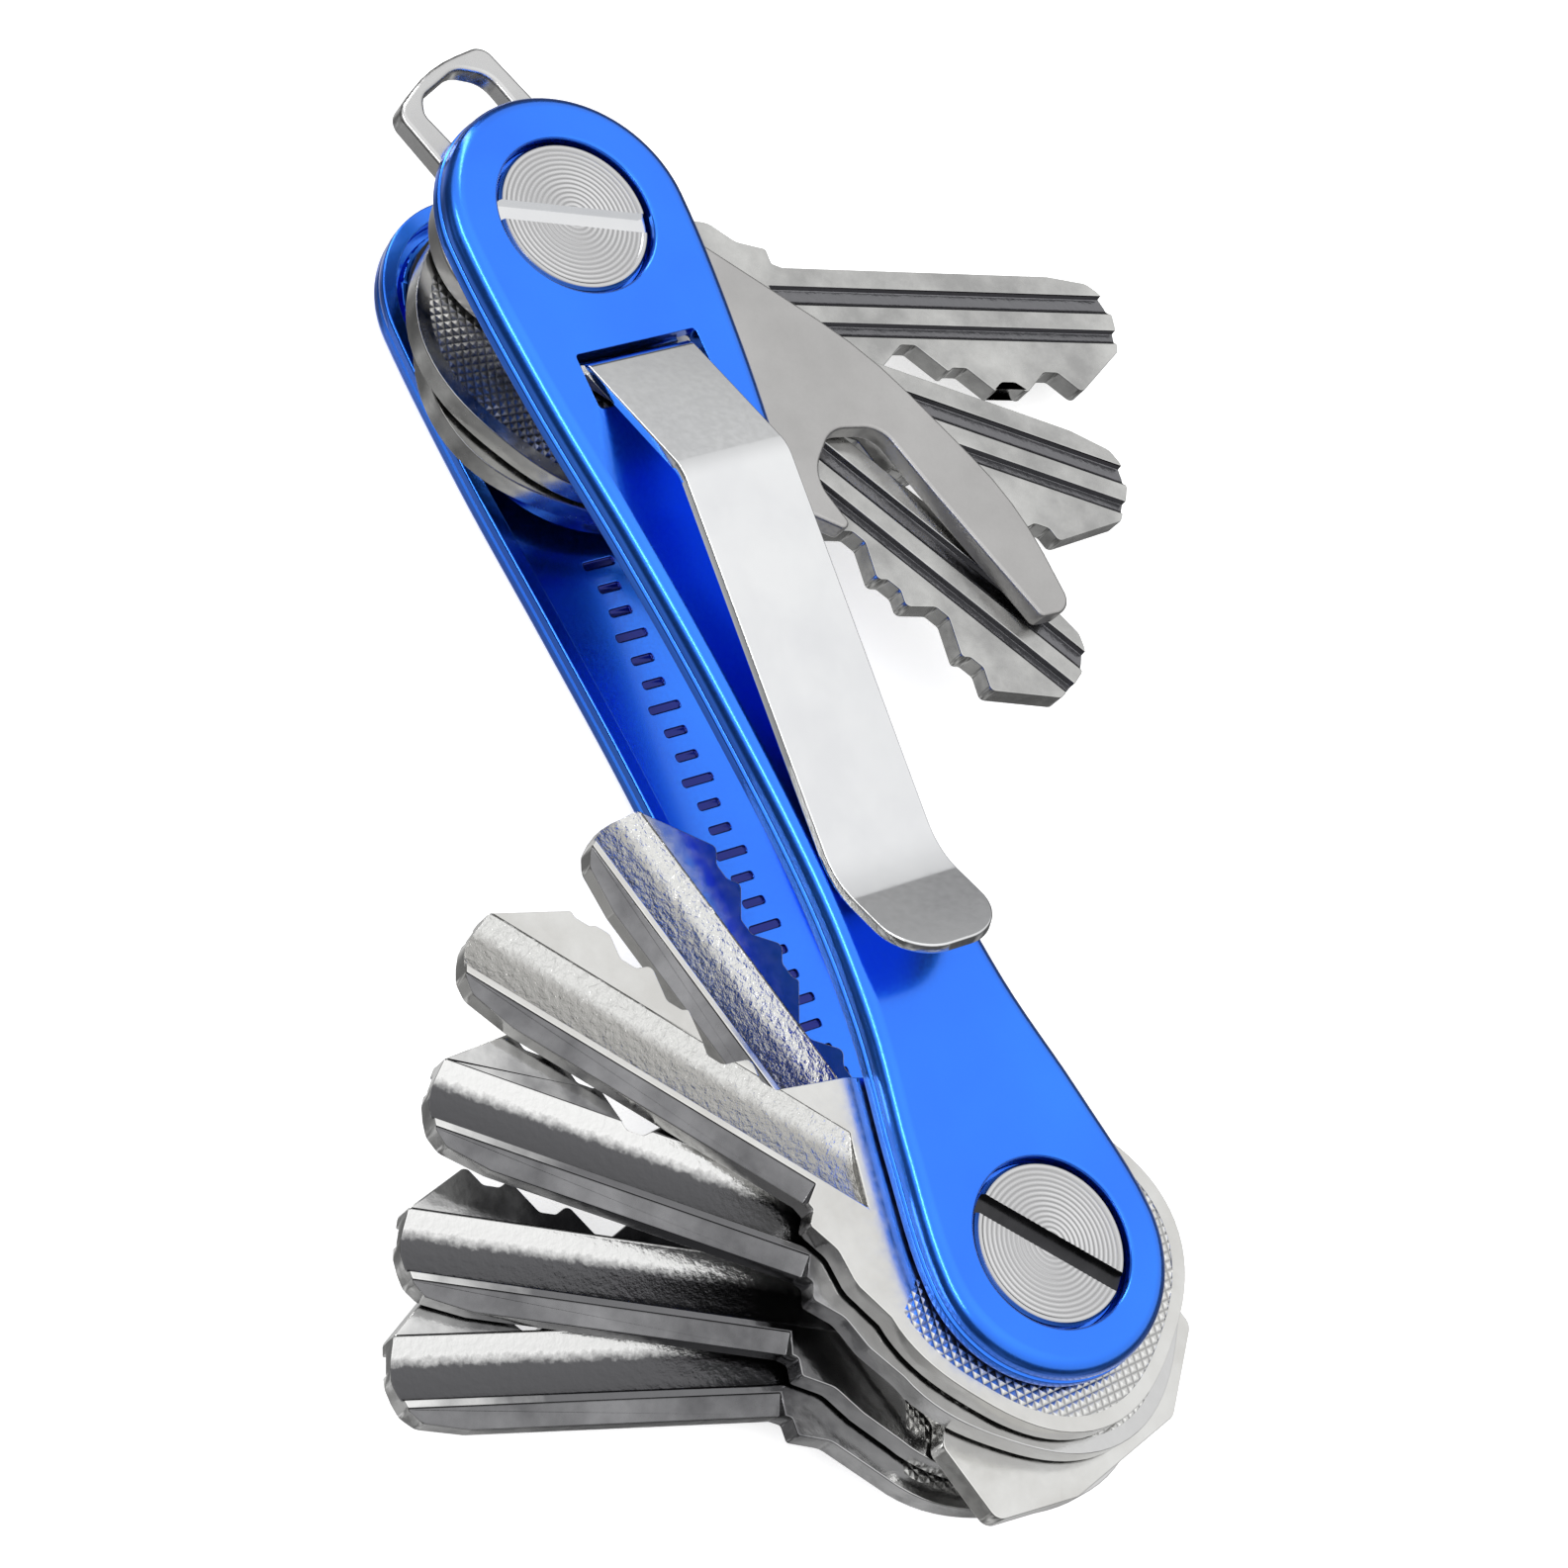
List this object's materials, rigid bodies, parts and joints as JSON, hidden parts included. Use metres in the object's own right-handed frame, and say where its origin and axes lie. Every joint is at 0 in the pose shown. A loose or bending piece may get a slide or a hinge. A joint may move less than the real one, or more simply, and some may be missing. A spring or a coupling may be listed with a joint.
{
  "type": "key organiser",
  "caption": "Slim key organiser: waisted blue anodised plates on a post at each end, with a steel pocket clip, a fob loop, a bottle opener and fanned keys.",
  "frame": {"origin": "middle of the back plate's flat outer face, half-way between the two posts", "axes": "+Z from the back plate towards the front plate and pocket clip; +X from the fob-loop end towards the key end; +Y completes a right-handed frame"},
  "size_m": [0.1085, 0.0935, 0.0209],
  "materials": {
    "blue_anodised": "satin anodised",
    "polished_steel": "polished",
    "satin_steel": "satin polished",
    "turned_steel": "face-turned, with fine rings",
    "blasted_steel": "bead blasted",
    "nickel_silver": "nickel plated, stamped and milled",
    "black_nylon": "moulded matt"
  },
  "bodies": {
    "frame": {"back_plate": "blue_anodised", "front_plate": "blue_anodised", "loop_end_post": "turned_steel", "key_end_post": "turned_steel", "loop_end_front_washer": "black_nylon", "loop_end_back_washer": "black_nylon", "key_end_front_washer": "black_nylon", "key_end_back_washer": "black_nylon"},
    "lower_key_1": {"lower_key_1": "nickel_silver"},
    "lower_key_2": {"lower_key_2": "nickel_silver"},
    "lower_key_3": {"lower_key_3": "nickel_silver"},
    "lower_key_4": {"lower_key_4": "nickel_silver"},
    "lower_key_5": {"lower_key_5": "nickel_silver"},
    "upper_key_1": {"upper_key_1": "nickel_silver"},
    "upper_key_2": {"upper_key_2": "nickel_silver"},
    "upper_key_3": {"upper_key_3": "nickel_silver"},
    "bottle_opener": {"bottle_opener": "blasted_steel"},
    "fob_loop": {"fob_loop": "satin_steel"},
    "pocket_clip": {"pocket_clip": "polished_steel"},
    "loop_end_screw": {"loop_end_screw": "turned_steel"},
    "key_end_screw": {"key_end_screw": "turned_steel"}
  },
  "joints": [
    {"name": "lower_key_1_pivot", "type": "hinge", "parent": "frame", "child": "lower_key_1", "pos_m": [0.039, 0, 0.0114], "axis": [0, 0, 1], "range_deg": [-41.3, 78.7]},
    {"name": "lower_key_2_pivot", "type": "hinge", "parent": "frame", "child": "lower_key_2", "pos_m": [0.039, 0, 0.0093], "axis": [0, 0, 1], "range_deg": [-54.2, 65.8]},
    {"name": "lower_key_3_pivot", "type": "hinge", "parent": "frame", "child": "lower_key_3", "pos_m": [0.039, 0, 0.0072], "axis": [0, 0, 1], "range_deg": [-14.7, 105.3]},
    {"name": "lower_key_4_pivot", "type": "hinge", "parent": "frame", "child": "lower_key_4", "pos_m": [0.039, 0, 0.0051], "axis": [0, 0, 1], "range_deg": [-65, 55]},
    {"name": "lower_key_5_pivot", "type": "hinge", "parent": "frame", "child": "lower_key_5", "pos_m": [0.039, 0, 0.003], "axis": [0, 0, 1], "range_deg": [-74.3, 45.7]},
    {"name": "upper_key_1_pivot", "type": "hinge", "parent": "frame", "child": "upper_key_1", "pos_m": [-0.039, 0, 0.0072], "axis": [0, 0, -1], "range_deg": [-116.4, 33.6]},
    {"name": "upper_key_2_pivot", "type": "hinge", "parent": "frame", "child": "upper_key_2", "pos_m": [-0.039, 0, 0.0051], "axis": [0, 0, -1], "range_deg": [-92.1, 57.9]},
    {"name": "upper_key_3_pivot", "type": "hinge", "parent": "frame", "child": "upper_key_3", "pos_m": [-0.039, 0, 0.003], "axis": [0, 0, -1], "range_deg": [-73.3, 76.7]},
    {"name": "bottle_opener_pivot", "type": "hinge", "parent": "frame", "child": "bottle_opener", "pos_m": [-0.039, 0, 0.0093], "axis": [0, 0, -1], "range_deg": [-80, 40]},
    {"name": "fob_loop_pivot", "type": "hinge", "parent": "frame", "child": "fob_loop", "pos_m": [-0.039, 0, 0.0114], "axis": [0, 0, 1], "range_deg": [-60, 37]},
    {"name": "pocket_clip_spring", "type": "hinge", "parent": "frame", "child": "pocket_clip", "pos_m": [-0.039, 0, 0.01425], "axis": [0, -1, 0], "range_deg": [0, 1.4], "stiffness_Nm_per_rad": 10, "springref_deg": -0.29},
    {"name": "loop_end_screw_turn", "type": "hinge", "parent": "frame", "child": "loop_end_screw", "pos_m": [-0.039, 0, 0.01505], "axis": [0, 0, 1], "range_deg": [-90, 90]},
    {"name": "key_end_screw_turn", "type": "hinge", "parent": "frame", "child": "key_end_screw", "pos_m": [0.039, 0, 0.01505], "axis": [0, 0, 1], "range_deg": [-90, 90]}
  ]
}
